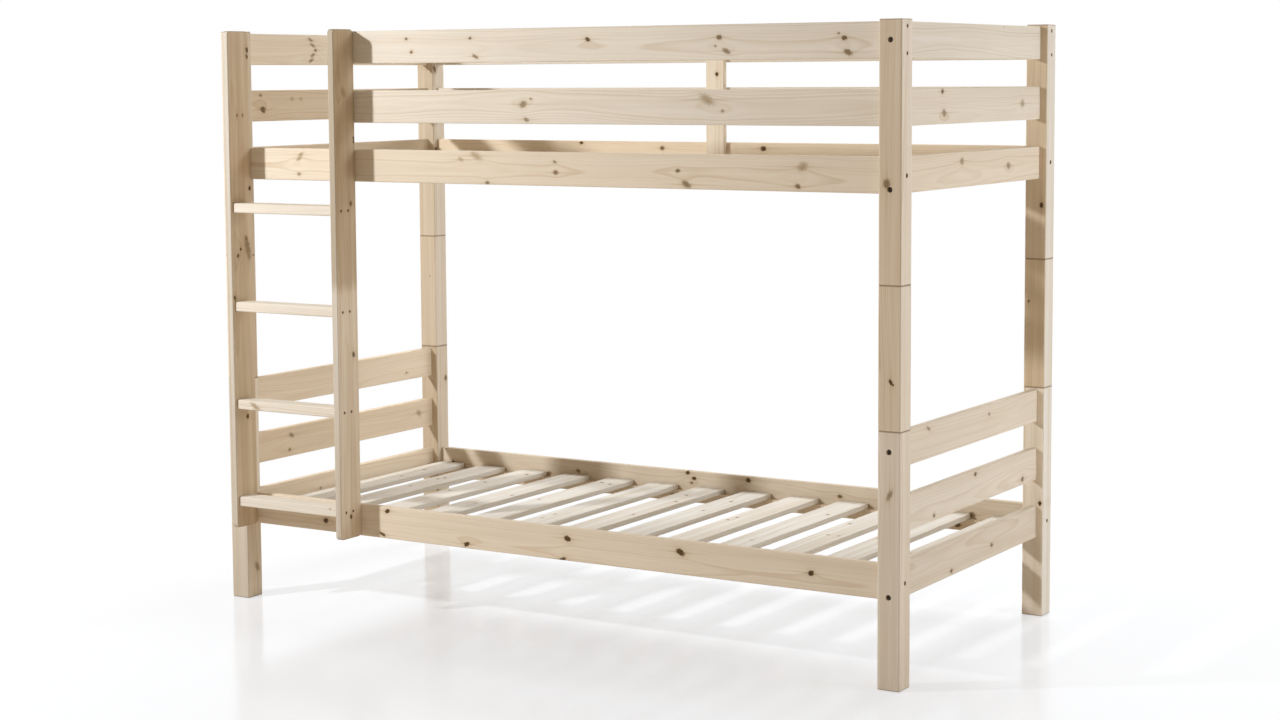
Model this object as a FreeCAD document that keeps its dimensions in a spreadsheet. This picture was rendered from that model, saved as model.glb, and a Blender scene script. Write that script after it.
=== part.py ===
import FreeCAD, Part
import os
import re

# A solid pine bunk bed made of two equal single beds, one standing on the other on spacer posts.
# X runs along the bed, Y from the ladder side to the wall side, and Z up from the floor.
# The frame's origin is on the floor, in the middle of the whole outline, ladder included.

doc = FreeCAD.newDocument("bunk_bed")
sheet = doc.addObject("Spreadsheet::Sheet", "sizes")

# Driving dimensions, in millimetres, and counts.
dimensions = {
    # The whole bed, measured over the posts
    "bed_length": 2100,
    "bed_width": 974,
    # Posts: square timber, with eased edges and a small chamfer round each sawn end
    "post_side": 60,
    "post_edge_radius": 4,
    "post_end_chamfer": 1.5,
    "post_top_margin": 5,
    "spacer_height": 350,
    # Boards: one planed section serves as rails, end boards and guard boards
    "board_height": 88,
    "board_thickness": 20,
    "board_edge_radius": 3,
    "rail_bottom_height": 217,
    "board_gap": 72,
    # Stub tenons of the end boards, glued in mortises in the posts
    "tenon_length": 15,
    "tenon_thickness": 12,
    "tenon_shoulder": 4,
    "tenon_clearance": 0.2,
    # Slat supports: a strip along the foot of each rail, and flat slats across
    "cleat_width": 28,
    "cleat_height": 30,
    "cleat_edge_radius": 2,
    "cleat_end_gap": 2,
    "slat_width": 88,
    "slat_thickness": 15,
    "slat_edge_radius": 2,
    "slat_count": 13,
    "slat_end_gap": 4,
    "slat_post_gap": 3,
    # Upright batten that ties the wall-side boards of the upper bed together
    "batten_width": 60,
    "batten_thickness": 18,
    "batten_off_centre": 25,
    "batten_top_margin": 6,
    "batten_slat_gap": 4,
    # Ladder: two boards on edge, with four flat rungs between them
    "stile_width": 88,
    "stile_thickness": 20,
    "stile_corner_radius": 12,
    "ladder_post_gap": 4,
    "ladder_clear_width": 352,
    "rung_count": 4,
    "rung_pitch": 276,
    "rung_depth": 58,
    "rung_thickness": 27,
    "rung_setback": 9,
    "rung_edge_radius": 4,
    # Steel pins that stand in the posts and locate one post on the next
    "pin_diameter": 12,
    "pin_length": 80,
    "pin_nose_chamfer": 2,
    "pin_clearance": 0.05,
    "pin_floor_gap": 1,
    # Bolts and cross dowel nuts that pull the rails to the posts
    "bolt_diameter": 7,
    "bolt_head_diameter": 10.5,
    "bolt_head_height": 6,
    "bolt_socket_width": 5,
    "bolt_socket_depth": 4,
    "bolt_recess_diameter": 12,
    "bolt_recess_depth": 12,
    "bolt_tip_beyond_nut": 8,
    "nut_diameter": 10,
    "nut_length": 16,
    "nut_from_rail_end": 45,
    "nut_hole_floor": 2,
    # Beech dowels beside each bolt
    "dowel_diameter": 8,
    "dowel_half_length": 20,
    "dowel_rise": 28,
    # Long screws that lock the highest and lowest end boards in their mortises
    "end_screw_diameter": 6,
    "end_screw_head_diameter": 12,
    "end_screw_head_height": 5,
    "end_screw_recess_diameter": 14,
    "end_screw_recess_depth": 12,
    "end_screw_length": 95,
    "low_end_screw_rise": 11,
    # Screws in the ends of the highest guard boards
    "guard_screw_diameter": 5,
    "guard_screw_head_diameter": 9,
    "guard_screw_head_height": 4,
    "guard_screw_recess_diameter": 10,
    "guard_screw_recess_depth": 12,
    "guard_screw_length": 90,
    "guard_screw_rise": 32,
    # Screws through the stiles into the ends of the rungs
    "rung_screw_diameter": 4.5,
    "rung_screw_head_diameter": 8,
    "rung_screw_head_height": 3,
    "rung_screw_recess_depth": 4,
    "rung_screw_length": 60,
    "rung_screw_edge": 14,
    # Screws through the boards into the back edges of the stiles
    "stile_screw_diameter": 5,
    "stile_screw_head_diameter": 9,
    "stile_screw_head_height": 3,
    "stile_screw_recess_depth": 4,
    "stile_screw_length": 50,
    "stile_screw_rise": 14,
    # Small clearances
    "hole_clearance": 0.2,
    "hole_end_gap": 1,
    "cut_overrun": 5,
}
for row, (alias, value) in enumerate(dimensions.items(), start=1):
    sheet.set(f"A{row}", alias)
    sheet.set(f"B{row}", str(value))
    sheet.setAlias(f"B{row}", alias)
doc.recompute()


def formula(text):
    """The words of a formula, with each name of a dimension pointed at its cell."""
    return re.sub(r"\b(" + "|".join(dimensions) + r")\b", r"sizes.\1", text)


# Places that several pieces share, written in the dimensions above.
BOARD_PITCH = "(board_height + board_gap)"
BED_POST_HEIGHT = f"(rail_bottom_height + board_height + 2 * {BOARD_PITCH} + post_top_margin)"
BED_LEVEL = {"lower": "0", "upper": f"({BED_POST_HEIGHT} + spacer_height)"}
WHOLE_HEIGHT = f"(2 * {BED_POST_HEIGHT} + spacer_height)"
BOARD_INSET = "((post_side - board_thickness) / 2)"
LADDER_STANDOFF = f"(stile_width - {BOARD_INSET})"
SHIFT_BACK = f"({LADDER_STANDOFF} / 2)"
POST_CENTRE_X = "(bed_length / 2 - post_side / 2)"
POST_CENTRE_Y = "(bed_width / 2 - post_side / 2)"
POST_INNER_X = "(bed_length / 2 - post_side)"
POST_INNER_Y = "(bed_width / 2 - post_side)"
RAIL_INNER_Y = f"({POST_CENTRE_Y} - board_thickness / 2)"
RAIL_MIDDLE = "(rail_bottom_height + board_height / 2)"
SECOND_MIDDLE = f"({RAIL_MIDDLE} + {BOARD_PITCH})"
TOP_MIDDLE = f"({RAIL_MIDDLE} + 2 * {BOARD_PITCH})"
LOW_SCREW_HEIGHT = "(rail_bottom_height + low_end_screw_rise)"
SLAT_TOP = "(rail_bottom_height + cleat_height + slat_thickness)"
BOARD_MIDDLES = {"low": RAIL_MIDDLE, "middle": SECOND_MIDDLE, "top": TOP_MIDDLE}
LEFT_STILE_X = f"(-{POST_INNER_X} + ladder_post_gap + stile_thickness / 2)"
RIGHT_STILE_X = f"({LEFT_STILE_X} + ladder_clear_width + stile_thickness)"
LADDER_BACK_Y = f"(-{POST_CENTRE_Y} - board_thickness / 2)"
LADDER_FRONT_Y = f"({LADDER_BACK_Y} - stile_width)"
LOWEST_RUNG_MIDDLE = "(rail_bottom_height + board_height - rung_thickness / 2)"
RUNG_FRONT_Y = f"({LADDER_FRONT_Y} + rung_setback)"

ALONG_X = FreeCAD.Rotation(FreeCAD.Vector(0, 1, 0), 90)
ALONG_Y = FreeCAD.Rotation(FreeCAD.Vector(1, 0, 0), -90)
ALONG_Z = FreeCAD.Rotation()

parts = []


def new_part(label, level="0"):
    """A body whose own origin is in the middle of the bed, at the floor or at the level of its bed."""
    body = doc.addObject("PartDesign::Body", label)
    body.Label = label
    body.AllowCompound = True
    body.setExpression(".Placement.Base.y", formula(SHIFT_BACK))
    body.setExpression(".Placement.Base.z", formula(level))
    parts.append(body)
    return body


def feature(body, kind, sizes, at, turn=ALONG_Z):
    """One primitive added to a body, or cut from it, with its sizes and place bound to the sheet."""
    made = body.newObject("PartDesign::" + kind, kind)
    for size, words in sizes.items():
        made.setExpression(size, formula(words))
    made.Placement = FreeCAD.Placement(FreeCAD.Vector(), turn)
    for axis, words in zip("xyz", at):
        made.setExpression(".Placement.Base." + axis, formula(words))
    return made


def block(body, middle, spans, kind="AdditiveBox"):
    """A box given by its middle and its three spans."""
    corner = [f"{centre} - ({span}) / 2" for centre, span in zip(middle, spans)]
    return feature(body, kind, dict(zip(("Length", "Width", "Height"), spans)), corner)


def rod(body, start, diameter, length, turn, kind="AdditiveCylinder"):
    """A round rod, or a round hole, from its starting point along one axis."""
    return feature(body, kind, {"Radius": f"({diameter}) / 2", "Height": length}, start, turn)


def hole(body, start, diameter, length, turn):
    return rod(body, start, diameter, length, turn, "SubtractiveCylinder")


def edges_along(shape, direction):
    """Names of the straight edges that run along a direction."""
    names = []
    for number, edge in enumerate(shape.Edges, start=1):
        if edge.Curve.TypeId == "Part::GeomLine" and abs(edge.Curve.Direction.dot(direction)) > 0.999:
            names.append(f"Edge{number}")
    return names


def ease_edges(body, direction, radius, kind="Fillet"):
    """Rounds, or chamfers, every edge of the body's last feature that runs along a direction."""
    doc.recompute()
    base = body.Tip
    eased = body.newObject("PartDesign::" + kind, kind)
    eased.Base = (base, edges_along(base.Shape, direction))
    eased.setExpression("Radius" if kind == "Fillet" else "Size", formula(radius))
    doc.recompute()
    return eased


X_WAY = FreeCAD.Vector(1, 0, 0)
Y_WAY = FreeCAD.Vector(0, 1, 0)
Z_WAY = FreeCAD.Vector(0, 0, 1)


def post_blank(label, side, depth, level, height):
    """A square post with rounded edges and chamfered ends. side and depth are 1 or -1."""
    post = new_part(label, level)
    middle = (f"{side} * {POST_CENTRE_X}", f"{depth} * {POST_CENTRE_Y}", f"{height} / 2")
    block(post, middle, ("post_side", "post_side", height))
    ease_edges(post, Z_WAY, "post_edge_radius")
    base = post.Tip
    chamfer = post.newObject("PartDesign::Chamfer", "Chamfer")
    ends = []
    for number, face in enumerate(base.Shape.Faces, start=1):
        if face.Surface.TypeId == "Part::GeomPlane" and abs(face.normalAt(0, 0).z) > 0.999:
            ends.append(f"Face{number}")
    chamfer.Base = (base, ends)
    chamfer.setExpression("Size", formula("post_end_chamfer"))
    doc.recompute()
    return post


def inward(sign, outer_start, length):
    """The lower end of a hole of this length that starts at an outer face and runs inwards."""
    return f"({outer_start} - ({length}))" if sign > 0 else f"(-{outer_start})"


def placed(way, start, across):
    """A point at start along X or Y, and at two given places along the other two axes."""
    return (start, *across) if way is ALONG_X else (across[0], start, across[1])


def recessed_hole(post, way, side, across, screw):
    """A hole right through a post, along X or Y, with a recess in the outer face for a screw's head."""
    outer = "(bed_length / 2 + cut_overrun)" if way is ALONG_X else "(bed_width / 2 + cut_overrun)"
    cuts = {
        f"{screw}_diameter + 2 * hole_clearance": "post_side + 2 * cut_overrun",
        f"{screw}_recess_diameter": f"{screw}_recess_depth + cut_overrun",
    }
    for diameter, length in cuts.items():
        hole(post, placed(way, inward(side, outer, length), across), diameter, length, way)


def dowel_hole_x(body, side, face_x, y, z):
    """A blind dowel hole along X that starts at a piece's face and runs towards +side."""
    length = "dowel_half_length + hole_end_gap"
    start = face_x if side > 0 else f"({face_x} - ({length}))"
    hole(body, (start, y, z), "dowel_diameter + 2 * hole_clearance", length, ALONG_X)


# Posts. Each bed has four, mortised for the end boards and drilled for bolts, dowels, screws and pins.
# Screws along Y and bolts along X cross the middle of the post at different heights.
corners = {"front_left": (-1, -1), "front_right": (1, -1), "back_left": (-1, 1), "back_right": (1, 1)}
PIN_HOLE_DEPTH = "pin_length / 2 + pin_floor_gap"


def pin_hole(post, x, y, start):
    """A hole for a locating pin, open at one end of a post."""
    hole(post, (x, y, start), "pin_diameter + 2 * pin_clearance", f"{PIN_HOLE_DEPTH} + cut_overrun", ALONG_Z)


for bed, level in BED_LEVEL.items():
    for corner, (side, depth) in corners.items():
        post = post_blank(f"{bed}_post_{corner}", side, depth, level, BED_POST_HEIGHT)
        x = f"{side} * {POST_CENTRE_X}"
        y = f"{depth} * {POST_CENTRE_Y}"
        for middle in BOARD_MIDDLES.values():
            mortise = "tenon_length + tenon_clearance"
            mortise_y = f"{depth} * ({POST_INNER_Y} + ({mortise} - cut_overrun) / 2)"
            mortise_size = (
                "tenon_thickness + 2 * tenon_clearance",
                f"{mortise} + cut_overrun",
                "board_height - 2 * tenon_shoulder + 2 * tenon_clearance",
            )
            block(post, (x, mortise_y, middle), mortise_size, "SubtractiveBox")
        recessed_hole(post, ALONG_X, side, (y, RAIL_MIDDLE), "bolt")
        for rise in ("dowel_rise", "-dowel_rise"):
            dowel_hole_x(post, side, f"{side} * {POST_INNER_X}", y, f"{RAIL_MIDDLE} + {rise}")
        for height in (LOW_SCREW_HEIGHT, TOP_MIDDLE):
            recessed_hole(post, ALONG_Y, depth, (x, height), "end_screw")
        pin_hole(post, x, y, f"{BED_POST_HEIGHT} - ({PIN_HOLE_DEPTH})" if bed == "lower" else "-cut_overrun")
        if bed == "upper" and corner != "front_left":
            for rise in ("guard_screw_rise", "-guard_screw_rise"):
                recessed_hole(post, ALONG_X, side, (y, f"{TOP_MIDDLE} + {rise}"), "guard_screw")
            for rise in ("dowel_rise", "-dowel_rise"):
                dowel_hole_x(post, side, f"{side} * {POST_INNER_X}", y, f"{SECOND_MIDDLE} + {rise}")

# Spacer posts, which carry the upper bed and are drilled at both ends for the pins.
for corner, (side, depth) in corners.items():
    spacer = post_blank(f"spacer_post_{corner}", side, depth, BED_POST_HEIGHT, "spacer_height")
    for start in ("-cut_overrun", f"spacer_height - ({PIN_HOLE_DEPTH})"):
        pin_hole(spacer, f"{side} * {POST_CENTRE_X}", f"{depth} * {POST_CENTRE_Y}", start)

# Locating pins, half in the post below and half in the post above, with chamfered noses.
for label, level in (("lower_post_pins", BED_POST_HEIGHT), ("upper_post_pins", BED_LEVEL["upper"])):
    pins = new_part(label, level)
    full = "pin_diameter / 2"
    nose = "pin_diameter / 2 - pin_nose_chamfer"
    shank_start = "-pin_length / 2 + pin_nose_chamfer"
    for side, depth in corners.values():
        x = f"{side} * {POST_CENTRE_X}"
        y = f"{depth} * {POST_CENTRE_Y}"
        rod(pins, (x, y, shank_start), "pin_diameter", "pin_length - 2 * pin_nose_chamfer", ALONG_Z)
        lower_cone = {"Radius1": nose, "Radius2": full, "Height": "pin_nose_chamfer"}
        upper_cone = {"Radius1": full, "Radius2": nose, "Height": "pin_nose_chamfer"}
        feature(pins, "AdditiveCone", lower_cone, (x, y, "-pin_length / 2"))
        feature(pins, "AdditiveCone", upper_cone, (x, y, "pin_length / 2 - pin_nose_chamfer"))


# Long rails. Each is bored at both ends for a bolt, a cross dowel nut and two dowels.
def long_board(label, level, depth, middle_z, left_x, right_x):
    """A board on edge along X, in the middle of the posts' width on one side of the bed."""
    board = new_part(label, level)
    centre = (f"(({left_x}) + ({right_x})) / 2", f"{depth} * {POST_CENTRE_Y}", middle_z)
    block(board, centre, (f"({right_x}) - ({left_x})", "board_thickness", "board_height"))
    ease_edges(board, X_WAY, "board_edge_radius")
    return board


STILE_SCREW_HOLE = "stile_screw_diameter + 2 * hole_clearance"
STILE_SCREW_REACH = "stile_screw_length - (board_thickness - stile_screw_recess_depth)"


def stile_screw_holes(board, stiles_x, middle):
    """Screw holes through a ladder-side board behind each stile, with recesses on the board's inner face."""
    through = "board_thickness + 2 * cut_overrun"
    recess = "stile_screw_recess_depth + cut_overrun"
    recess_start = f"{LADDER_BACK_Y} + board_thickness - stile_screw_recess_depth"
    recess_size = "stile_screw_head_diameter + 2 * hole_clearance"
    for stile_x in stiles_x:
        for rise in ("stile_screw_rise", "-stile_screw_rise"):
            height = f"{middle} + {rise}"
            start = f"{LADDER_BACK_Y} - cut_overrun"
            hole(board, (stile_x, start, height), STILE_SCREW_HOLE, through, ALONG_Y)
            hole(board, (stile_x, recess_start, height), recess_size, recess, ALONG_Y)


for bed, level in BED_LEVEL.items():
    for place, depth in (("front", -1), ("back", 1)):
        label = f"{bed}_{place}_rail"
        rail = long_board(label, level, depth, RAIL_MIDDLE, f"-{POST_INNER_X}", POST_INNER_X)
        y = f"{depth} * {POST_CENTRE_Y}"
        if label == "upper_front_rail":
            stile_screw_holes(rail, (LEFT_STILE_X, RIGHT_STILE_X), RAIL_MIDDLE)
        for side in (-1, 1):
            bore = "nut_from_rail_end + bolt_tip_beyond_nut + hole_end_gap"
            bore_start = f"({POST_INNER_X} - ({bore}))" if side > 0 else f"(-{POST_INNER_X})"
            hole(rail, (bore_start, y, RAIL_MIDDLE), "bolt_diameter + 2 * hole_clearance", bore, ALONG_X)
            nut_x = f"{side} * ({POST_INNER_X} - nut_from_rail_end)"
            pocket = "board_thickness - nut_hole_floor + cut_overrun"
            pocket_y = f"(-{POST_CENTRE_Y} - board_thickness / 2 + nut_hole_floor)"
            if depth > 0:
                pocket_y = f"({RAIL_INNER_Y} - cut_overrun)"
            hole(rail, (nut_x, pocket_y, RAIL_MIDDLE), "nut_diameter + 2 * hole_clearance", pocket, ALONG_Y)
            for rise in ("dowel_rise", "-dowel_rise"):
                dowel_hole_x(rail, -side, f"{side} * {POST_INNER_X}", y, f"{RAIL_MIDDLE} + {rise}")

# Guard boards. On the ladder side they stop behind the right stile and leave the way in open.
guard_left = f"{RIGHT_STILE_X} - stile_thickness / 2"
guards = {
    "front_top_guard_board": (-1, TOP_MIDDLE, guard_left, (1,)),
    "front_middle_guard_board": (-1, SECOND_MIDDLE, guard_left, (1,)),
    "back_top_guard_board": (1, TOP_MIDDLE, f"-{POST_INNER_X}", (-1, 1)),
    "back_middle_guard_board": (1, SECOND_MIDDLE, f"-{POST_INNER_X}", (-1, 1)),
}
for label, (depth, middle, left, ends) in guards.items():
    guard = long_board(label, BED_LEVEL["upper"], depth, middle, left, POST_INNER_X)
    y = f"{depth} * {POST_CENTRE_Y}"
    if depth < 0:
        stile_screw_holes(guard, (RIGHT_STILE_X,), middle)
    for side in ends:
        if middle == SECOND_MIDDLE:
            for rise in ("dowel_rise", "-dowel_rise"):
                dowel_hole_x(guard, -side, f"{side} * {POST_INNER_X}", y, f"{middle} + {rise}")
        else:
            bore = "guard_screw_length - (post_side - guard_screw_recess_depth) + hole_end_gap"
            bore_start = f"({POST_INNER_X} - ({bore}))" if side > 0 else f"(-{POST_INNER_X})"
            bore_size = "guard_screw_diameter + 2 * hole_clearance"
            for rise in ("guard_screw_rise", "-guard_screw_rise"):
                hole(guard, (bore_start, y, f"{middle} + {rise}"), bore_size, bore, ALONG_X)

# End boards: three at each end of each bed, with a stub tenon at both ends.
END_BOARD_SPAN = f"2 * {POST_INNER_Y}"
for bed, level in BED_LEVEL.items():
    for end, side in (("left", -1), ("right", 1)):
        for height_name, middle in BOARD_MIDDLES.items():
            board = new_part(f"{bed}_{end}_end_board_{height_name}", level)
            x = f"{side} * {POST_CENTRE_X}"
            block(board, (x, "0", middle), ("board_thickness", END_BOARD_SPAN, "board_height"))
            ease_edges(board, Y_WAY, "board_edge_radius")
            tenon_span = f"{END_BOARD_SPAN} + 2 * tenon_length"
            tenon_height = "board_height - 2 * tenon_shoulder"
            block(board, (x, "0", middle), ("tenon_thickness", tenon_span, tenon_height))
            if height_name == "middle":
                continue
            screw_z = LOW_SCREW_HEIGHT if height_name == "low" else TOP_MIDDLE
            reach = "end_screw_length - (post_side - end_screw_recess_depth) + tenon_length + hole_end_gap"
            for depth in (-1, 1):
                tip = f"({POST_INNER_Y} + tenon_length)"
                start = f"({tip} - ({reach}))" if depth > 0 else f"(-{tip})"
                hole(board, (x, start, screw_z), "end_screw_diameter + 2 * hole_clearance", reach, ALONG_Y)

# Slat supports, flush with the foot of each rail, and the slats that lie on them.
CLEAT_SPAN = f"2 * ({POST_INNER_X} - cleat_end_gap)"
SLAT_SPAN = f"2 * ({RAIL_INNER_Y} - slat_end_gap)"
SLAT_RUN = f"2 * ({POST_INNER_X} - slat_post_gap) - slat_width"
for bed, level in BED_LEVEL.items():
    for place, depth in (("front", -1), ("back", 1)):
        cleat = new_part(f"{bed}_{place}_cleat", level)
        cleat_y = f"{depth} * ({RAIL_INNER_Y} - cleat_width / 2)"
        cleat_middle = ("0", cleat_y, "rail_bottom_height + cleat_height / 2")
        block(cleat, cleat_middle, (CLEAT_SPAN, "cleat_width", "cleat_height"))
        ease_edges(cleat, X_WAY, "cleat_edge_radius")
    slats = new_part(f"{bed}_slats", level)
    slat_middle = (f"-({SLAT_RUN}) / 2", "0", f"{SLAT_TOP} - slat_thickness / 2")
    block(slats, slat_middle, ("slat_width", SLAT_SPAN, "slat_thickness"))
    ease_edges(slats, Y_WAY, "slat_edge_radius")
    row = slats.newObject("PartDesign::LinearPattern", "LinearPattern")
    row.Originals = [slats.Group[0], slats.Group[1]]
    row.Direction = (slats.Origin.OriginFeatures[0], [""])
    row.setExpression("Length", formula(SLAT_RUN))
    row.setExpression("Occurrences", formula("slat_count"))
    slats.Tip = row

# Upright batten on the inner face of the wall-side boards, from just above the slats.
batten = new_part("back_batten", BED_LEVEL["upper"])
batten_foot = f"({SLAT_TOP} + batten_slat_gap)"
batten_head = f"({TOP_MIDDLE} + board_height / 2 - batten_top_margin)"
batten_middle = (
    "batten_off_centre", f"{RAIL_INNER_Y} - batten_thickness / 2", f"({batten_foot} + {batten_head}) / 2",
)
block(batten, batten_middle, ("batten_width", "batten_thickness", f"{batten_head} - {batten_foot}"))
ease_edges(batten, Z_WAY, "board_edge_radius")

# Ladder stiles: boards on edge that stand out in front of the rails, with rounded corners.
RUNG_NUMBERS = range(dimensions["rung_count"])
RUNG_HEIGHTS = [f"({LOWEST_RUNG_MIDDLE} + {number} * rung_pitch)" for number in RUNG_NUMBERS]
RUNG_SCREW_PLACES = (f"{RUNG_FRONT_Y} + rung_screw_edge", f"{RUNG_FRONT_Y} + rung_depth - rung_screw_edge")
RUNG_SCREW_HOLE = "rung_screw_diameter + 2 * hole_clearance"
RUNG_SCREW_RECESS = "rung_screw_head_diameter + 2 * hole_clearance"
stiles = {"ladder_left_stile": (LEFT_STILE_X, -1), "ladder_right_stile": (RIGHT_STILE_X, 1)}
for label, (stile_x, outward) in stiles.items():
    stile = new_part(label)
    stile_height = f"({WHOLE_HEIGHT} - rail_bottom_height)"
    stile_y = f"({LADDER_FRONT_Y} + {LADDER_BACK_Y}) / 2"
    stile_z = f"rail_bottom_height + {stile_height} / 2"
    block(stile, (stile_x, stile_y, stile_z), ("stile_thickness", "stile_width", stile_height))
    ease_edges(stile, X_WAY, "stile_corner_radius")
    ease_edges(stile, Z_WAY, "board_edge_radius")
    through = "stile_thickness + 2 * cut_overrun"
    through_start = f"{stile_x} - stile_thickness / 2 - cut_overrun"
    recess = "rung_screw_recess_depth + cut_overrun"
    recess_start = through_start
    if outward > 0:
        recess_start = f"{stile_x} + stile_thickness / 2 - rung_screw_recess_depth"
    for rung_z in RUNG_HEIGHTS:
        for screw_y in RUNG_SCREW_PLACES:
            hole(stile, (through_start, screw_y, rung_z), RUNG_SCREW_HOLE, through, ALONG_X)
            hole(stile, (recess_start, screw_y, rung_z), RUNG_SCREW_RECESS, recess, ALONG_X)
    screwed_boards = (RAIL_MIDDLE, SECOND_MIDDLE, TOP_MIDDLE) if outward > 0 else (RAIL_MIDDLE,)
    bore = f"{STILE_SCREW_REACH} + hole_end_gap + cut_overrun"
    for middle in screwed_boards:
        for rise in ("stile_screw_rise", "-stile_screw_rise"):
            height = f"{BED_LEVEL['upper']} + {middle} + {rise}"
            bore_start = f"{LADDER_BACK_Y} - ({STILE_SCREW_REACH}) - hole_end_gap"
            hole(stile, (stile_x, bore_start, height), STILE_SCREW_HOLE, bore, ALONG_Y)

# Rungs: flat treads screwed end-on between the stiles.
for number, rung_z in enumerate(RUNG_HEIGHTS, start=1):
    rung = new_part(f"ladder_rung_{number}")
    rung_x = f"({LEFT_STILE_X} + {RIGHT_STILE_X}) / 2"
    rung_middle = (rung_x, f"{RUNG_FRONT_Y} + rung_depth / 2", rung_z)
    block(rung, rung_middle, ("ladder_clear_width", "rung_depth", "rung_thickness"))
    ease_edges(rung, X_WAY, "rung_edge_radius")
    bore = "rung_screw_length - (stile_thickness - rung_screw_recess_depth) + hole_end_gap"
    for screw_y in RUNG_SCREW_PLACES:
        for start in (f"{rung_x} - ladder_clear_width / 2", f"{rung_x} + ladder_clear_width / 2 - ({bore})"):
            hole(rung, (start, screw_y, rung_z), RUNG_SCREW_HOLE, bore, ALONG_X)


# Fasteners. Like ones share a part, as separate solids.
def headed_rod(body, way, side, seat, across, screw):
    """A screw or bolt. Its head faces the given side along X or Y, and bears on the seat."""
    length = BOLT_LENGTH if screw == "bolt" else f"{screw}_length"
    shank_start = f"({seat} - ({length}))" if side > 0 else seat
    head_start = seat if side > 0 else f"({seat} - {screw}_head_height)"
    rod(body, placed(way, shank_start, across), f"{screw}_diameter", length, way)
    rod(body, placed(way, head_start, across), f"{screw}_head_diameter", f"{screw}_head_height", way)


BOLT_LENGTH = "post_side - bolt_recess_depth + nut_from_rail_end + bolt_tip_beyond_nut"
for bed, level in BED_LEVEL.items():
    bolts = new_part(f"{bed}_rail_bolts", level)
    nuts = new_part(f"{bed}_cross_dowel_nuts", level)
    dowels = new_part(f"{bed}_dowels", level)
    end_screws = new_part(f"{bed}_end_board_screws", level)
    for side, depth in corners.values():
        x = f"{side} * {POST_CENTRE_X}"
        y = f"{depth} * {POST_CENTRE_Y}"
        seat = f"{side} * (bed_length / 2 - bolt_recess_depth)"
        headed_rod(bolts, ALONG_X, side, seat, (y, RAIL_MIDDLE), "bolt")
        # The hexagonal socket in the head of the bolt, open at the outer face
        socket_x = f"{side} * (bed_length / 2 - bolt_recess_depth + bolt_head_height - bolt_socket_depth)"
        if side < 0:
            socket_x = f"{socket_x} - bolt_socket_depth"
        socket = {"Circumradius": "bolt_socket_width / 2", "Height": "bolt_socket_depth"}
        feature(bolts, "SubtractivePrism", socket, (socket_x, y, RAIL_MIDDLE), ALONG_X)
        nut_x = f"{side} * ({POST_INNER_X} - nut_from_rail_end)"
        rod(nuts, (nut_x, f"{y} - nut_length / 2", RAIL_MIDDLE), "nut_diameter", "nut_length", ALONG_Y)
        cross_hole_start = f"{nut_x} - nut_diameter / 2 - cut_overrun"
        cross_hole_size = "bolt_diameter + 2 * hole_clearance"
        cross_hole_length = "nut_diameter + 2 * cut_overrun"
        cross_hole_at = (cross_hole_start, y, RAIL_MIDDLE)
        hole(nuts, cross_hole_at, cross_hole_size, cross_hole_length, ALONG_X)
        dowel_heights = [RAIL_MIDDLE]
        if bed == "upper" and (side, depth) != corners["front_left"]:
            dowel_heights.append(SECOND_MIDDLE)
        dowel_start = f"{side} * {POST_INNER_X} - dowel_half_length"
        for middle in dowel_heights:
            for rise in ("dowel_rise", "-dowel_rise"):
                dowel_at = (dowel_start, y, f"{middle} + {rise}")
                rod(dowels, dowel_at, "dowel_diameter", "2 * dowel_half_length", ALONG_X)
        for height in (LOW_SCREW_HEIGHT, TOP_MIDDLE):
            seat = f"{depth} * (bed_width / 2 - end_screw_recess_depth)"
            headed_rod(end_screws, ALONG_Y, depth, seat, (x, height), "end_screw")

guard_screws = new_part("guard_board_screws", BED_LEVEL["upper"])
for corner, (side, depth) in corners.items():
    if corner == "front_left":
        continue
    for rise in ("guard_screw_rise", "-guard_screw_rise"):
        seat = f"{side} * (bed_length / 2 - guard_screw_recess_depth)"
        across = (f"{depth} * {POST_CENTRE_Y}", f"{TOP_MIDDLE} + {rise}")
        headed_rod(guard_screws, ALONG_X, side, seat, across, "guard_screw")

rung_screws = new_part("rung_screws")
stile_screws = new_part("stile_screws", BED_LEVEL["upper"])
for stile_x, outward in stiles.values():
    seat = f"({stile_x} + {outward} * (stile_thickness / 2 - rung_screw_recess_depth))"
    for rung_z in RUNG_HEIGHTS:
        for screw_y in RUNG_SCREW_PLACES:
            headed_rod(rung_screws, ALONG_X, outward, seat, (screw_y, rung_z), "rung_screw")
    screwed_boards = (RAIL_MIDDLE, SECOND_MIDDLE, TOP_MIDDLE) if outward > 0 else (RAIL_MIDDLE,)
    seat = f"({LADDER_BACK_Y} + board_thickness - stile_screw_recess_depth)"
    for middle in screwed_boards:
        for rise in ("stile_screw_rise", "-stile_screw_rise"):
            headed_rod(stile_screws, ALONG_Y, 1, seat, (stile_x, f"{middle} + {rise}"), "stile_screw")

doc.recompute()
for item in doc.Objects:
    if "Invalid" in item.State or "Error" in item.State:
        raise RuntimeError(f"{item.Label} did not build: {item.State}")
for body in parts:
    if body.Shape.isNull() or not body.Shape.isValid():
        raise RuntimeError(f"{body.Label} has no valid solid")

os.makedirs("parts", exist_ok=True)
for body in parts:
    body.Shape.exportStep(f"parts/{body.Label}.step")
print(len(parts), "parts written")
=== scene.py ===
import math
import random

import bpy
from mathutils import Euler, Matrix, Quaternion, Vector


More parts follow.
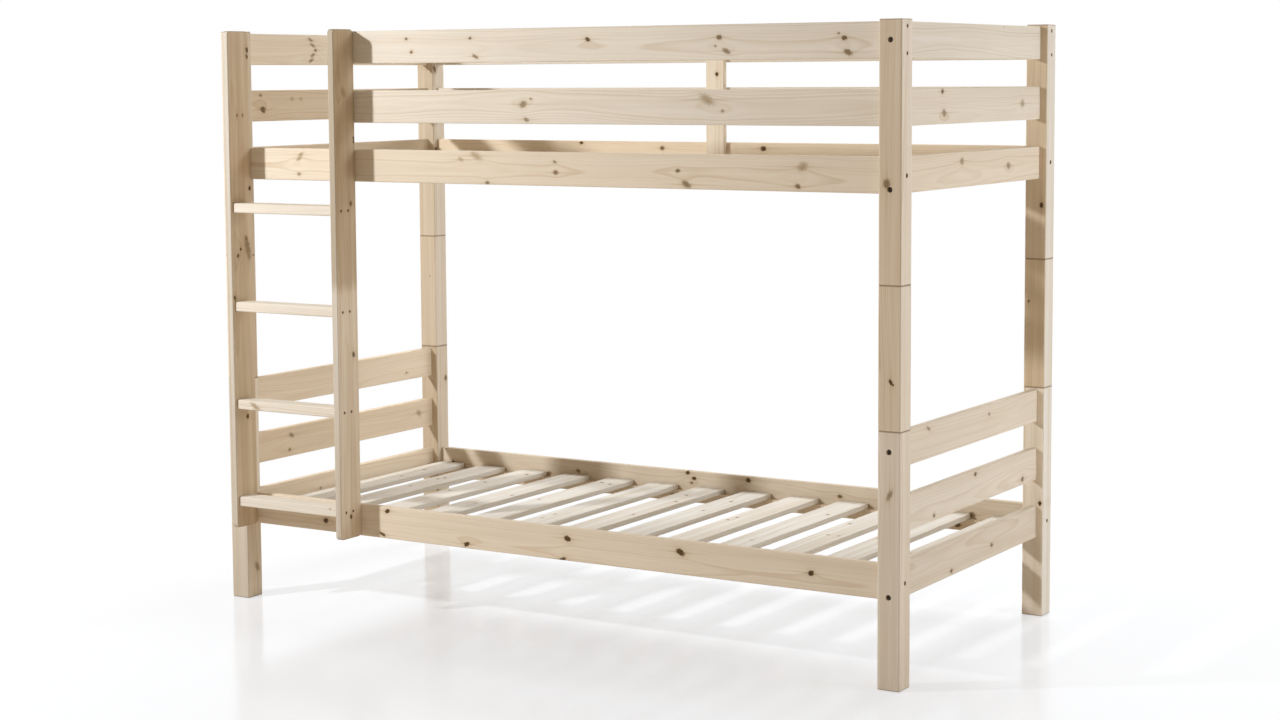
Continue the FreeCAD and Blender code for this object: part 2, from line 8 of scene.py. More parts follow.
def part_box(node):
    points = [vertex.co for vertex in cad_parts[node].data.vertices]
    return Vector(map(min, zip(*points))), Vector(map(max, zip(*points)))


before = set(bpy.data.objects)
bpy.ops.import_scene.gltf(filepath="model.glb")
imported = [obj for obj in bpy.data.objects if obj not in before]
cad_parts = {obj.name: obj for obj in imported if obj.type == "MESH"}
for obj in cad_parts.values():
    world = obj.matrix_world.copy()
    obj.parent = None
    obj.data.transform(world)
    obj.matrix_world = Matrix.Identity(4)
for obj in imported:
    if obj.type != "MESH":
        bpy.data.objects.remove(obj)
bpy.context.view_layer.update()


# Posts. Square sticks of bare planed pine at the corners of each bed, bolted to the rails. The year
# rings are cut lengthwise and leave brown lines down their faces. The sawn ends drink in dust and oil,
# so they are darker, and a thin band of painted shade is laid round each end, where it meets the next piece.
class Wire:
    """A value on its way through a finish. Sums and products of it add Math nodes."""

    def __init__(self, finish, socket):
        self.finish = finish
        self.socket = socket

    def math(self, operation, *others):
        return self.finish.node("Math", {"operation": operation}, dict(enumerate((self, *others))))

    def __add__(self, other):
        return self.math("ADD", other)

    def __sub__(self, other):
        return self.math("SUBTRACT", other)

    def __rsub__(self, other):
        return self * -1 + other

    def __mul__(self, other):
        return self.math("MULTIPLY", other)

    def __truediv__(self, other):
        return self.math("DIVIDE", other)

    def __rtruediv__(self, other):
        return self.math("POWER", -1.0) * other

    __radd__ = __add__
    __rmul__ = __mul__


class Finish:
    """A material, or the studio's light, that is being mixed from nodes."""

    def __init__(self, holder):
        holder.use_nodes = True
        self.holder = holder
        self.tree = holder.node_tree
        self.tree.nodes.clear()

    def node(self, kind, settings=None, sockets=None, output=0):
        """Adds a node with its settings, fills its sockets with values or links, and gives one output."""
        made = self.tree.nodes.new("ShaderNode" + kind)
        for setting, value in (settings or {}).items():
            if setting == "stops":
                while len(made.color_ramp.elements) < len(value):
                    made.color_ramp.elements.new(1.0)
                for element, (position, colour) in zip(made.color_ramp.elements, value):
                    element.position = position
                    element.color = colour
            else:
                setattr(made, setting, value)
        for socket, value in (sockets or {}).items():
            if isinstance(value, Wire):
                self.tree.links.new(value.socket, made.inputs[socket])
            else:
                made.inputs[socket].default_value = value
        return Wire(self, made.outputs[output])

    def end(self, shader, kind="OutputMaterial"):
        """Ends the mixing and gives what was mixed."""
        made = self.tree.nodes.new("ShaderNode" + kind)
        self.tree.links.new(shader.socket, made.inputs["Surface"])
        return self.holder

    def mixed(self, amount, first, second):
        """The first colour with an amount of the second laid over it."""
        settings = {"data_type": "RGBA", "clamp_factor": True}
        return self.node("Mix", settings, {0: amount, 6: first, 7: second}, 2)

    def shaded(self, colour, amount):
        """A colour made lighter or darker by a factor."""
        return self.node("VectorMath", {"operation": "SCALE"}, {0: colour, "Scale": amount})

    def tinted(self, colour, tint):
        """A colour multiplied by another."""
        tint = tint if isinstance(tint, Wire) else tint[:3]
        return self.node("VectorMath", {"operation": "MULTIPLY"}, {0: colour, 1: tint})

    def eased(self, value, start, end):
        """A smooth rise from 0 to 1, while a value goes from start to end."""
        sockets = {"Value": value, "From Min": start, "From Max": end}
        return self.node("MapRange", {"interpolation_type": "SMOOTHSTEP"}, sockets)

    def lot(self, value):
        """A number from 0 to 1 that is drawn by lot for each value."""
        return self.node("TexWhiteNoise", {"noise_dimensions": "1D"}, {"W": value})

    def split(self, vector):
        """The three numbers of a vector."""
        first = self.node("SeparateXYZ", sockets={0: vector})
        return [Wire(self, output) for output in first.socket.node.outputs]


def grey(value):
    """A grey, from 0 for black to 1 for white."""
    return (value, value, value, 1)


EARLY_WOOD = (0.82, 0.72, 0.575, 1)
LATE_WOOD = (0.59, 0.44, 0.27, 1)
END_GRAIN = (0.52, 0.38, 0.23, 1)
# The colour and width of the band of painted shade at each end of a piece, where it meets the next piece.
END_JOINT_SHADE = (0.20, 0.11, 0.05, 1)
END_JOINT_SHADE_WIDTH = 0.0035
KNOT_HEART = (0.095, 0.054, 0.022, 1)
KNOT_GLOW = (0.46, 0.31, 0.14, 1)
ONE_YEAR = ((0.0, grey(0)), (0.35, grey(0.12)), (0.86, grey(1)), (1.0, grey(0)))
# How far the heart of the tree wanders through a board and across it, and how far the rings ripple.
WANDER = (0.034, 0.050)
RIPPLE = 0.0022
# How frayed the edge of a knot is, as a share of its radius.
KNOT_FRAY = 1.1
# The boards of a row are cut from the plank PLANK_STEP apart, and differ in tone by ROW_TONES at most.
# Each has three knots within ROW_SPREAD, along it and across it. LOT_STEP keeps a board's lots apart.
PLANK_STEP = 3.7
LOT_STEP = 0.31
ROW_SPREAD = (0.8, 0.06)
ROW_KNOT_RADIUS = 0.005
ROW_KNOT_SLANT = 0.3
ROW_TONES = 0.08


def wood_tint(tone, warmth):
    """What a piece's own tone and warmth do to the colour of pine."""
    return (tone, tone * (1 - 0.30 * warmth), tone * (1 - 0.75 * warmth), 1)


def stick_axes(low, high, grain, branch=None):
    """The axes of a stick: along its grain, through it and across it. Branches run through it, which is
    the thin way unless branch names another."""
    along = "xyz".index(grain)
    others = sorted((axis for axis in range(3) if axis != along), key=lambda axis: high[axis] - low[axis])
    if branch:
        others.sort(key=lambda axis: axis != "xyz".index(branch))
    return along, *others


def knot_marks(paint, u, w, edge, knots):
    """What branches leave in a board: how far they push the rings outwards, the dark hearts of the knots,
    and the shade and the brown line along the grain that each has round it."""
    push, hearts, halo = 0.0, 0.0, 0.0
    for knot_along, knot_across, radius, darkness, slant in knots:
        # far is the square of how many radii a point lies from the knot, which is longer along the grain.
        side = (w - knot_across) / radius
        run = (u - knot_along) / radius + side * slant
        far = run * run * 0.6 + side * side
        # The rings give way by half the knot's radius, and by less further off.
        push = push + (radius * 0.55) / (far * 0.14 + 1.0)

        # A pale knot has a soft edge, and a dark one a sharp edge.
        paleness = 1 - darkness
        heart = paint.eased(far.math("SQRT") + edge, 1.15 + paleness * 0.7, 0.75 - paleness * 0.7)
        hearts = (heart * darkness).math("MAXIMUM", hearts)
        line = (side * side * 20.0 + far * 0.03 + 1.0).math("POWER", -2.0)
        shade = (far * far * 0.12 + 1.0).math("POWER", -1.0)
        glow = line * 0.5 + shade * 0.30 * darkness
        glow = glow.math("MAXIMUM", heart * (0.85 - paleness * 0.35))
        halo = glow.math("MAXIMUM", halo)
    return push, hearts, halo


def boards_of_row(paint, w, row_pitch, seed):
    """Tells the boards of a row apart. Gives the number of a point's board, how far across that board the
    point is, and three knots and a tone that are drawn by lot for each board."""
    turn = (w / row_pitch).math("ROUND")
    lots = [paint.lot(turn + (seed + LOT_STEP * count)) for count in range(7)]
    knots = []
    for count in (0, 2, 4):
        knot_along = (lots[count] - 0.5) * ROW_SPREAD[0]
        knot_across = (lots[count + 1] - 0.5) * ROW_SPREAD[1]
        knots.append((knot_along, knot_across, ROW_KNOT_RADIUS, lots[count] * 0.9, ROW_KNOT_SLANT))
    return turn, w - turn * row_pitch, knots, (lots[6] - 0.5) * ROW_TONES + 1.0


def pine(node, grain, knots=(), tone=1.0, warmth=0.0, pith=(0.06, 0.02), ring=0.0034, branch=None,
         painted_side_tone=None, painted_shade_above=None, streaks=0.45, row_pitch=None):
    """Bare planed pine for one piece, or for a row of like pieces that are row_pitch apart.

    grain is the axis that the fibres run along, and branch the one that the branches do. A knot is
    (along, across, radius, darkness, slant). pith is how far off the heart of the tree lies, through the
    piece and across it, and ring the width of a year. painted_side_tone is a tone and warmth of painted
    light for the faces that look left and right, lighter or darker as the light falls on them, and
    painted_shade_above is where painted shade darkens and browns the wood along its length, and by how much.
    """
    paint = Finish(bpy.data.materials.new("pine_" + node))
    low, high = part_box(node)
    along, through, across = stick_axes(low, high, grain, branch)
    middle = [(high[axis] + low[axis]) / 2 for axis in range(3)]
    length = high[along] - low[along]
    # A number from the piece's name, so that like pieces differ in their figure.
    seed = sum(ord(letter) * (count + 3) for count, letter in enumerate(node)) % 97

    # u, v and w are how far a point is from the middle of the piece: along, through and across it.
    spot = paint.split(paint.node("TexCoord", output="Object"))
    u, v, w = (spot[axis] - middle[axis] for axis in (along, through, across))
    knots = [(first - middle[along], second - middle[across], *rest) for first, second, *rest in knots]
    shift, own_tone = 0.0, 1.0
    if row_pitch:
        turn, w, knots, own_tone = boards_of_row(paint, w, row_pitch, seed)
        shift = turn * PLANK_STEP
    board = paint.node("CombineXYZ", sockets={0: u + shift, 1: v, 2: w})

    def cloud(stretch, detail, offset=0.0, output="Fac"):
        """Noise with so many blots to the metre along the grain, through the piece and across it."""
        place = paint.node(
            "VectorMath", {"operation": "MULTIPLY_ADD"}, {0: board, 1: stretch, 2: (seed + offset,) * 3}
        )
        return paint.node("TexNoise", None, {"Vector": place, "Scale": 1.0, "Detail": detail}, output)

    edge = (cloud((230.0, 230.0, 230.0), detail=2.0, offset=23.0) - 0.5) * KNOT_FRAY
    push, hearts, halo = knot_marks(paint, u, w, edge, knots)

    # The heart of the tree wanders along the board, so the rings run in and out of its faces.
    wander = paint.split(cloud((1.3, 0.0, 0.0), detail=1.0, output="Color"))
    from_pith_v = v + (wander[0] - 0.5) * WANDER[0] + pith[0]
    from_pith_w = w + (wander[1] - 0.5) * WANDER[1] + pith[1]
    ripple = (cloud((9.0, 45.0, 45.0), detail=2.0, offset=11.0) - 0.5) * RIPPLE
    depth = (from_pith_v * from_pith_v + from_pith_w * from_pith_w).math("SQRT") + ripple - push
    years = depth / ring
    season = paint.node("ValToRGB", {"stops": ONE_YEAR}, {0: years.math("FRACT")})
    year_lot = paint.lot(years.math("FLOOR") + seed)
    fibre = cloud((5.0, 420.0, 420.0), detail=3.0, offset=5.0) - 0.5
    streak = cloud((1.1, 60.0, 60.0), detail=2.0, offset=31.0) - 0.5
    blush = cloud((2.2, 9.0, 9.0), detail=2.0, offset=47.0) - 0.5

    brown = season * (year_lot * year_lot * 0.42 + 0.12) + fibre * 0.26 + streak * streaks + 0.14
    colour = paint.mixed(brown, EARLY_WOOD, LATE_WOOD)
    facing = paint.split(paint.node("TexCoord", output="Normal"))

    def faces(axis):
        """1 on the faces that look along an axis, and 0 on the others."""
        return (facing[axis] * facing[axis]).math("POWER", 3.0)

    tint = wood_tint(tone, warmth)
    # Painted light: the faces that look left and right take their own tone and warmth, for the light that
    # falls on them.
    if painted_side_tone:
        tint = paint.mixed(faces(0), tint, wood_tint(*painted_side_tone))
    colour = paint.tinted(colour, tint)
    # Painted shade: above a height the wood is darkened and browned, for light that other parts keep off it.
    if painted_shade_above:
        start, end, strength = painted_shade_above
        shade_rise = paint.eased(spot[along] + streak * 0.06, start, end)
        colour = paint.mixed(shade_rise, colour, paint.tinted(colour, wood_tint(*strength)))
    colour = paint.shaded(colour, blush * 0.14 + own_tone)

    relief = season * 0.4 + fibre * 0.8
    if knots:
        colour = paint.mixed(halo, colour, KNOT_GLOW)
        colour = paint.mixed(hearts, colour, KNOT_HEART)
        relief = relief - hearts * 1.5

    # The sawn ends drink in more dust, so their end grain is darker. The last hair of the faces beside them
    # is painted darker, as painted shade in the joint where the piece meets the next.
    colour = paint.mixed(faces(along) * 0.45, colour, END_GRAIN)
    if not row_pitch:
        joint_shade = paint.node("MapRange", None, {
            "Value": u.math("ABSOLUTE"), "From Min": length / 2 - END_JOINT_SHADE_WIDTH, "From Max": length / 2,
        })
        colour = paint.mixed(joint_shade * 0.7, colour, END_JOINT_SHADE)

    bump = paint.node("Bump", None, {"Strength": 0.3, "Distance": 0.0005, "Height": relief})
    surface = paint.node("BsdfPrincipled", None, {
        "Base Color": colour, "Roughness": fibre * 0.2 + 0.60, "Normal": bump, "Specular IOR Level": 0.3,
    })
    dress(node, paint.end(surface))


def dress(node, material):
    """Puts a material on a piece of the frame."""
    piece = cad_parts[node]
    if not piece.material_slots:
        piece.data.materials.append(material)
    for slot in piece.material_slots:
        slot.material = material


luck = random.Random(41)
KNOT_INSET = 0.012


def stray_knots(node, grain, count, smallest=0.0035, largest=0.007, branch=None):
    """Places for a few knots on a piece whose own can't be seen in the photo."""
    low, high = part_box(node)
    along, _, across = stick_axes(low, high, grain, branch)
    found = []
    for part in range(count):
        spot = low[along] + (high[along] - low[along]) * (part + luck.uniform(0.2, 0.8)) / count
        side = luck.uniform(low[across] + KNOT_INSET, high[across] - KNOT_INSET)
        radius = luck.uniform(smallest, largest)
        darkness = luck.uniform(0.6, 1.0)
        slant = luck.uniform(-0.8, 0.8)
        found.append((spot, side, radius, darkness, slant))
    return found


# Each post has a tone and a warmth, and another tone and warmth of painted light for its left and right
# faces, lighter or darker for how the light falls on them, the axis that its branches run along, and its
# knots. The pieces further on have the same, less what they don't need.
POST_LOOKS = {
    "lower_post_front_right": (0.98, -0.15, (0.95, -0.06), "y", [(0.477, 1.022, 0.008, 0.45, -1.0)]),
    "upper_post_front_right": (0.91, 0.04, (1.02, -0.10), "y", [(1.222, 1.012, 0.009, 0.65, 0.0)]),
    # The dark knot low on this post is painted shade, for the gap just above the lowest end board.
    "lower_post_back_right": (1.09, -0.12, (1.02, -0.30), "y", [(0.312, 1.041, 0.005, 1.0, 0.0)]),
    "upper_post_back_right": (0.92, 0.16, (1.00, -0.24), "y", [(1.126, 1.037, 0.006, 1.0, 0.0)]),
    "upper_post_back_left": (0.83, 0.08, (0.93, -0.12), "x", [
        (1.505, 0.471, 0.008, 0.7, 0.8), (1.250, 0.473, 0.008, 0.8, 0.0)]),
    "lower_post_back_left": (0.77, 0.16, (0.92, -0.06), "x", [(0.525, 0.508, 0.007, 0.7, 0.0)]),
    "upper_post_front_left": (0.90, 0.02, None, "y", []),
    "lower_post_front_left": (0.78, -0.08, (1.10, -0.10), "x", [(0.085, -0.415, 0.009, 0.4, 0.7)]),
}
POST_YEAR = 0.0040
POST_STREAKS = 0.9
for node, (tone, warmth, painted_side_tone, branch, knots) in POST_LOOKS.items():
    knots = knots or stray_knots(node, "z", 1, branch=branch)
    pith = (luck.uniform(0.035, 0.06), luck.uniform(0.02, 0.05))
    pine(node, "z", knots, tone, warmth, pith, ring=POST_YEAR, branch=branch, painted_side_tone=painted_side_tone,
         streaks=POST_STREAKS)

# Spacer posts. The same pine stick in four short lengths, stood between the posts of the two beds.
# Nothing but the steel pins at their ends holds them.
SPACER_LOOKS = {
    "spacer_post_front_right": (0.92, 0.05, (0.99, -0.08), [
        (0.750, 1.024, 0.005, 1.0, 0.6), (0.744, 1.030, 0.003, 0.9, 0.0)]),
    "spacer_post_back_right": (0.92, 0.20, (1.00, -0.22), []),
    "spacer_post_back_left": (0.82, 0.10, (0.93, -0.10), []),
    "spacer_post_front_left": (0.95, 0.08, None, []),
}
# Their left and right faces get painted light, as the posts' faces do.
for node, (tone, warmth, painted_side_tone, knots) in SPACER_LOOKS.items():
    knots = knots or stray_knots(node, "z", 1, smallest=0.0015, largest=0.003, branch="y")
    pine(node, "z", knots, tone, warmth, pith=(0.05, 0.03), ring=POST_YEAR, branch="y", painted_side_tone=painted_side_tone,
         streaks=POST_STREAKS)

# Rails. The long pine boards at the foot of each bed, with many dark knots. They are pulled against the
# posts by bolts, and carry the supports of the slats.
RAIL_LOOKS = {
    "upper_front_rail": (0.99, -0.06, [
        (-0.190, 1.272, 0.011, 0.22, 0.9), (-0.240, 1.262, 0.006, 0.20, 0.4),
        (-0.785, 1.268, 0.006, 0.35, -0.8), (-0.791, 1.257, 0.006, 0.35, -0.8),
        (-0.792, 1.214, 0.005, 0.45, 0.0), (-0.155, 1.202, 0.005, 0.6, 0.0),
        (0.061, 1.232, 0.006, 0.65, 0.0), (0.058, 1.260, 0.004, 0.5, 0.4), (0.427, 1.243, 0.005, 0.7, 0.0),
        (0.452, 1.209, 0.009, 0.6, 0.6), (0.778, 1.258, 0.010, 0.30, -0.3), (0.765, 1.210, 0.006, 0.7, 0.3),
    ]),
    "lower_front_rail": (1.01, -0.05, [
        (-0.720, 0.247, 0.007, 1.0, 0.0), (-0.503, 0.294, 0.006, 1.0, -0.4), (-0.521, 0.228, 0.006, 0.9, 1.0),
        (-0.236, 0.229, 0.007, 1.0, -0.4), (0.087, 0.276, 0.008, 1.0, 0.4), (0.071, 0.219, 0.007, 0.9, -0.9),
        (0.430, 0.275, 0.009, 1.0, 0.5), (0.801, 0.261, 0.007, 1.0, -0.2),
    ]),
    "lower_back_rail": (0.88, -0.02, [
        (-0.578, 0.256, 0.006, 0.6, 0.0), (-0.472, 0.272, 0.006, 0.7, 0.3), (-0.082, 0.299, 0.006, 1.0, 0.0),
        (-0.060, 0.284, 0.006, 1.0, 0.0), (-0.068, 0.270, 0.004, 0.7, 0.0), (0.124, 0.294, 0.007, 1.0, 0.0),
        (0.424, 0.273, 0.006, 0.8, 0.2), (0.833, 0.258, 0.008, 0.7, 0.0),
    ]),
    "upper_back_rail": (1.06, 0.06, [
        (-0.450, 1.279, 0.005, 1.0, 0.0), (-0.165, 1.266, 0.006, 0.8, 0.0), (0.176, 1.268, 0.007, 1.0, 0.0),
    ]),
}
for node, (tone, warmth, knots) in RAIL_LOOKS.items():
    pith = (luck.uniform(0.04, 0.07), luck.uniform(-0.03, 0.03))
    pine(node, "x", knots, tone, warmth, pith, ring=0.0036)

# Guard boards. Paler pine boards that keep a sleeper in the upper bed. Screws through the posts hold the
# top ones and dowels the others. On the ladder side they stop at the ladder's right board.
GUARD_KNOTS = {
    "front_top_guard_board": [
        (-0.414, 1.582, 0.0035, 0.7, 0.0), (-0.398, 1.546, 0.0038, 0.7, 0.0),
        (-0.205, 1.581, 0.004, 0.65, 0.0), (-0.189, 1.533, 0.006, 0.55, 0.9),
        (0.162, 1.573, 0.0055, 0.9, 0.4), (0.547, 1.573, 0.006, 0.7, 0.0),
        (0.536, 1.552, 0.003, 0.5, 0.0), (0.567, 1.539, 0.007, 0.55, 0.8), (0.890, 1.567, 0.006, 0.8, 0.0),
        (0.875, 1.578, 0.003, 0.5, 0.0), (0.900, 1.533, 0.008, 0.65, 0.6),
    ],
    "front_middle_guard_board": [
        (-0.039, 1.408, 0.009, 0.50, -0.3), (-0.014, 1.422, 0.003, 0.5, 0.0),
        (-0.029, 1.368, 0.006, 0.5, 0.6), (0.512, 1.420, 0.013, 0.30, 0.8), (0.556, 1.392, 0.004, 0.4, 0.0),
    ],
    "back_top_guard_board": [],
    "back_middle_guard_board": [],
}
for node, knots in GUARD_KNOTS.items():
    knots = knots or stray_knots(node, "x", 5)
    pith = (luck.uniform(0.05, 0.08), luck.uniform(-0.03, 0.03))
    pine(node, "x", knots, warmth=-0.22, pith=pith, ring=0.0040)

# End boards. Three short pine boards at each end of each bed. Their tongues sit in slots in the posts,
# and long screws hold the highest and the lowest.
END_LOOKS = {
    "upper_right_end_board_top": (1.0, -0.18, [(0.210, 1.600, 0.002, 0.2, 0.0)]),
    "upper_right_end_board_middle": (1.0, -0.12, [
        (-0.176, 1.437, 0.006, 0.8, 0.0), (-0.165, 1.384, 0.009, 0.45, 0.2),
        (0.338, 1.401, 0.009, 0.35, 0.0)]),
    "upper_right_end_board_low": (1.0, -0.02, [
        (-0.055, 1.262, 0.008, 0.45, 0.0), (0.246, 1.240, 0.009, 0.45, 0.2)]),
    "lower_right_end_board_top": (0.97, -0.08, [
        (-0.248, 0.612, 0.006, 0.5, 1.2), (0.130, 0.600, 0.005, 0.4, 0.6)]),
    "lower_right_end_board_middle": (0.97, -0.10, [
        (0.044, 0.455, 0.006, 0.8, 0.0), (-0.212, 0.389, 0.005, 0.7, 0.2), (0.361, 0.394, 0.007, 0.7, -0.3)]),
    "lower_right_end_board_low": (0.90, -0.06, [
        (-0.104, 0.230, 0.006, 0.7, 0.0), (0.153, 0.251, 0.006, 0.7, 0.3)]),
    "upper_left_end_board_top": (1.12, -0.04, [
        (-0.108, 1.590, 0.006, 0.45, 1.2), (-0.098, 1.574, 0.006, 0.5, 1.2),
        (-0.086, 1.560, 0.0045, 0.65, 0.0),
        (-0.098, 1.546, 0.006, 0.5, -0.9), (-0.106, 1.530, 0.006, 0.45, -0.9)]),
    "upper_left_end_board_middle": (0.94, 0.11, [
        (-0.335, 1.431, 0.0045, 0.5, 0.0), (-0.325, 1.390, 0.009, 0.8, 0.2),
        (-0.197, 1.419, 0.006, 0.15, 0.0), (-0.157, 1.419, 0.005, 0.12, 0.0)]),
    "upper_left_end_board_low": (0.92, 0.12, []),
    "lower_left_end_board_top": (1.11, 0.02, [(0.330, 0.560, 0.004, 0.4, 0.0)]),
    "lower_left_end_board_middle": (1.06, 0.09, [
        (-0.229, 0.439, 0.007, 0.45, 0.6), (-0.238, 0.397, 0.005, 0.5, 0.0),
        (0.390, 0.425, 0.009, 0.3, 0.4)]),
    "lower_left_end_board_low": (1.06, 0.02, [(-0.100, 0.262, 0.004, 0.4, 0.0)]),
}
for node, (tone, warmth, knots) in END_LOOKS.items():
    knots = knots or stray_knots(node, "y", 2)
    pith = (luck.uniform(0.04, 0.07), luck.uniform(-0.03, 0.03))
    pine(node, "y", knots, tone, warmth, pith, ring=0.0036)

# Slats. Thirteen thin pine boards laid across each bed, fresh from the plane and less yellow than the
# rest. Each has its own grain and knots. They lie loose on the supports.
SLAT_COUNT = 13
SLAT_WIDTH = 0.088
for bed in ("lower", "upper"):
    node = f"{bed}_slats"
    low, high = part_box(node)
    pitch = (high[0] - low[0] - SLAT_WIDTH) / (SLAT_COUNT - 1)
    pine(node, "y", tone=0.95, warmth=-0.36, pith=(0.05, 0.01), ring=0.0040, branch="z", streaks=1.1,
         row_pitch=pitch)

# Supports. Plain pine strips, fixed along the foot of each rail, on its inner face. The slats rest on
# them with their ends.
for bed in ("lower", "upper"):
    for side in ("front", "back"):
        node = f"{bed}_{side}_cleat"
        pine(node, "x", stray_knots(node, "x", 3), tone=0.92, warmth=0.10, pith=(0.03, 0.02))

# Batten. A short upright pine board on the inner faces of the wall-side boards, which it ties together
# right of their middle.
pine("back_batten", "z", [(1.483, 0.032, 0.005, 1.0, 0.0)], tone=1.10, warmth=-0.08, pith=(0.04, 0.01),
     ring=0.0036)

# Ladder. Two pine boards on edge, darker and more streaked than the rails, are screwed to the front of
# the upper bed, and four flat rungs are screwed between them. The right board is painted browner above
# a height, as painted shade where the upper bed keeps the light off it, and the left and right faces of
# both boards have a painted tone of their own for the light that falls on them.
STILE_LOOKS = {
    "ladder_left_stile": ((0.88, 0.20), None, [
        (1.030, -0.459, 0.007, 0.60, 0.3), (1.014, -0.456, 0.010, 0.50, 0.3),
        (0.997, -0.452, 0.011, 0.45, 0.3), (0.981, -0.449, 0.008, 0.40, 0.3),
        (1.003, -0.483, 0.004, 0.9, 0.0), (0.985, -0.495, 0.005, 0.8, 0.0),
        (0.868, -0.512, 0.005, 0.8, 0.3), (0.528, -0.469, 0.006, 1.0, 0.0), (1.172, -0.440, 0.005, 1.0, 0.0),
        (1.558, -0.440, 0.006, 0.9, 0.0), (1.540, -0.441, 0.005, 0.8, 0.2), (1.376, -0.487, 0.004, 0.5, 0.0),
        (1.376, -0.464, 0.004, 0.5, 0.0),
    ]),
    "ladder_right_stile": ((1.02, 0.04), (0.885, 0.930, (0.76, 0.22)), [
        (1.138, -0.456, 0.006, 0.7, 0.0), (1.316, -0.439, 0.004, 0.9, 0.0), (1.306, -0.438, 0.004, 0.9, 0.0),
        (0.724, -0.455, 0.006, 0.8, 0.2), (0.277, -0.478, 0.005, 0.9, 0.0), (1.440, -0.480, 0.010, 0.25, 0.5),
    ]),
}
for node, (painted_side_tone, painted_shade_above, knots) in STILE_LOOKS.items():
    pine(node, "z", knots, tone=0.78, warmth=-0.16, pith=(0.05, 0.02), painted_side_tone=painted_side_tone, painted_shade_above=painted_shade_above,
         streaks=1.7)
RUNG_KNOTS = {
    "ladder_rung_1": [(-0.640, 0.300, 0.003, 0.2, 0.0)],
    "ladder_rung_2": [(-0.900, 0.566, 0.009, 0.35, 1.2)],
    "ladder_rung_3": [],
    "ladder_rung_4": [],
}
for node, knots in RUNG_KNOTS.items():
    pine(node, "x", knots, tone=0.98, warmth=-0.24, ring=0.0036, branch="y", streaks=0.5)

# Dowels. Round beech pins, glued beside the bolts and in the ends of the second guard boards, where the
# joints hide them. Beech is redder than pine, with short flecks.
BEECH = (0.56, 0.33, 0.16, 1)
BEECH_FLECK = (0.38, 0.20, 0.09, 1)
for node in ("lower_dowels", "upper_dowels"):
    paint = Finish(bpy.data.materials.new("beech_" + node))
    spot = paint.node("TexCoord", output="Object")
    flow = paint.node("VectorMath", {"operation": "MULTIPLY"}, {0: spot, 1: (40.0, 900.0, 900.0)})
    fleck = paint.node("TexNoise", None, {"Vector": flow, "Scale": 1.0, "Detail": 2.0})
    colour = paint.mixed(fleck, BEECH, BEECH_FLECK)
    surface = paint.node("BsdfPrincipled", None, {"Base Color": colour, "Roughness": 0.6})
    dress(node, paint.end(surface))


# Bolts, screws, nuts and pins. Steel, blackened on those that hold the posts, rails and boards, and
# browner on the ladder's rung screws, with faint wear that shows bare metal.
def steel(name, dark, worn):
    """Coloured steel, worn in places."""
    paint = Finish(bpy.data.materials.new(name))
    spot = paint.node("TexCoord", output="Object")
    wear = paint.node("TexNoise", None, {"Vector": spot, "Scale": 900.0, "Detail": 3.0})
    surface = paint.node("BsdfPrincipled", None, {
        "Base Color": paint.mixed(wear, dark, worn), "Metallic": 0.6, "Roughness": wear * 0.25 + 0.40,
    })
    return paint.end(surface)


black_steel = steel("black_steel", (0.040, 0.031, 0.025, 1), (0.13, 0.105, 0.085, 1))
brown_steel = steel("brown_steel", (0.11, 0.060, 0.030, 1), (0.24, 0.15, 0.085, 1))
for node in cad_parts:
    if node.endswith(("bolts", "nuts", "pins", "screws")):
        dress(node, brown_steel if node == "rung_screws" else black_steel)

# Studio. A seamless pale floor with a soft gloss, which fades to white away from the bed. The camera
# and the gloss see a white room, and the bed itself is lit by dim warm air and three soft lamps.
# The fade runs between these distances from the middle of the bed.
FADE_START = 0.1
FADE_END = 3.0
# The floor has one colour for the light that it throws up at the bed, and another, with a glow, for the
# camera.
FLOOR_BOUNCE = (0.72, 0.64, 0.55, 1)
FLOOR_SEEN = (0.46, 0.470, 0.490, 1)
FLOOR_GLOW = (0.375, 0.386, 0.397, 1)
bpy.ops.mesh.primitive_plane_add(size=60, location=(0, 0, -0.0006))
floor = bpy.context.object
floor.name = "floor"
paint = Finish(bpy.data.materials.new("floor"))
spot = paint.node("TexCoord", output="Object")
reach = paint.node("VectorMath", {"operation": "LENGTH"}, {0: spot}, "Value")
seen = paint.node("LightPath", output="Is Camera Ray")
paper = paint.node("BsdfPrincipled", None, {
    "Base Color": paint.mixed(seen, FLOOR_BOUNCE, FLOOR_SEEN), "Roughness": 0.14,
    "Emission Color": paint.mixed(seen, grey(0.0), FLOOR_GLOW), "Emission Strength": 1.0,
})
white = paint.node("Emission", None, {"Color": grey(1.0), "Strength": 1.0})
fade = paint.eased(reach, FADE_START, FADE_END) * seen
floor.data.materials.append(paint.end(paint.node("MixShader", None, {0: fade, 1: paper, 2: white})))

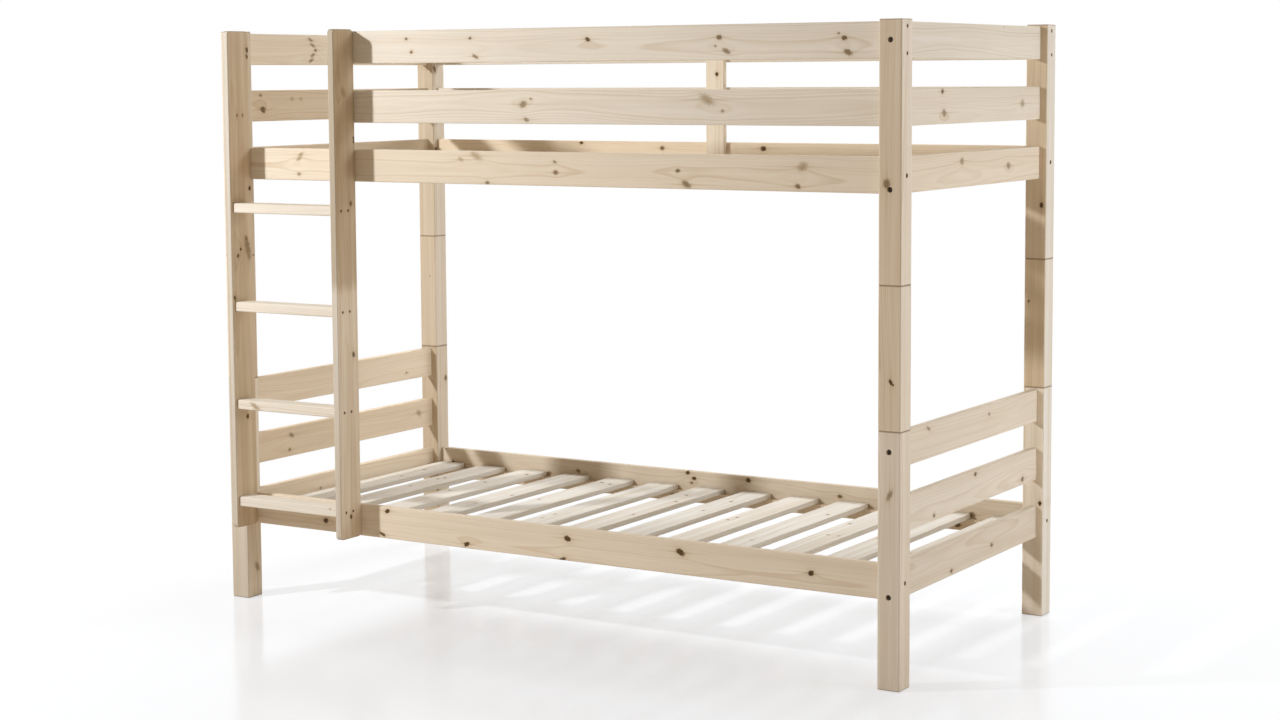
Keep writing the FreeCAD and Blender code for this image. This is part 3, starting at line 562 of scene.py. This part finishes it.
AIR = (0.245, 0.188, 0.130, 1)
world = bpy.data.worlds.new("studio")
room = Finish(world)
camera_ray, gloss_ray, glass_ray = (
    room.node("LightPath", output=f"Is {kind} Ray") for kind in ("Camera", "Glossy", "Transmission")
)
seen = camera_ray.math("MAXIMUM", gloss_ray).math("MAXIMUM", glass_ray)
room.end(room.node("Background", None, {"Color": room.mixed(seen, AIR, grey(1.0))}), "OutputWorld")
bpy.context.scene.world = world


def softbox(name, place, target, side, power, colour):
    """A square studio lamp that looks at a point."""
    lamp = bpy.data.lights.new(name, "AREA")
    lamp.size = side
    lamp.energy = power
    lamp.color = colour
    holder = bpy.data.objects.new(name, lamp)
    bpy.context.scene.collection.objects.link(holder)
    holder.location = place
    holder.visible_camera = False
    holder.visible_glossy = False
    holder.rotation_mode = "QUATERNION"
    holder.rotation_quaternion = (Vector(target) - Vector(place)).to_track_quat("-Z", "Y")


softbox("key", (-2.57, -3.15, 2.68), (-0.2, -0.4, 1.0), side=0.2, power=135, colour=(1.0, 1.03, 1.08))
softbox("side", (4.8, 0.8, 1.2), (0.5, 0.1, 1.0), side=2.0, power=80, colour=(0.98, 1.06, 1.18))
softbox("top", (0.5, 3.2, 4.2), (0.0, 0.0, 0.3), side=2.2, power=162, colour=(0.96, 0.99, 1.06))

# Camera. It stands in front of the bed and to its right, as high as the upper bed, and looks slightly
# down. Place, lens and angles were fitted to the corners and board edges of the bed in the photo.
TILT_DOWN = 5.28
TURN = 31.465
LEAN = -0.35
camera = bpy.data.cameras.new("camera")
camera.lens = 65.48
camera.shift_y = -0.054
holder = bpy.data.objects.new("camera", camera)
bpy.context.scene.collection.objects.link(holder)
holder.location = (3.385, -5.451, 1.480)
holder.rotation_mode = "QUATERNION"
aim = Euler((math.radians(90 - TILT_DOWN), 0.0, math.radians(TURN))).to_quaternion()
holder.rotation_quaternion = aim @ Quaternion((0, 0, 1), math.radians(LEAN))
bpy.context.scene.camera = holder

bpy.context.scene.view_settings.view_transform = "Standard"
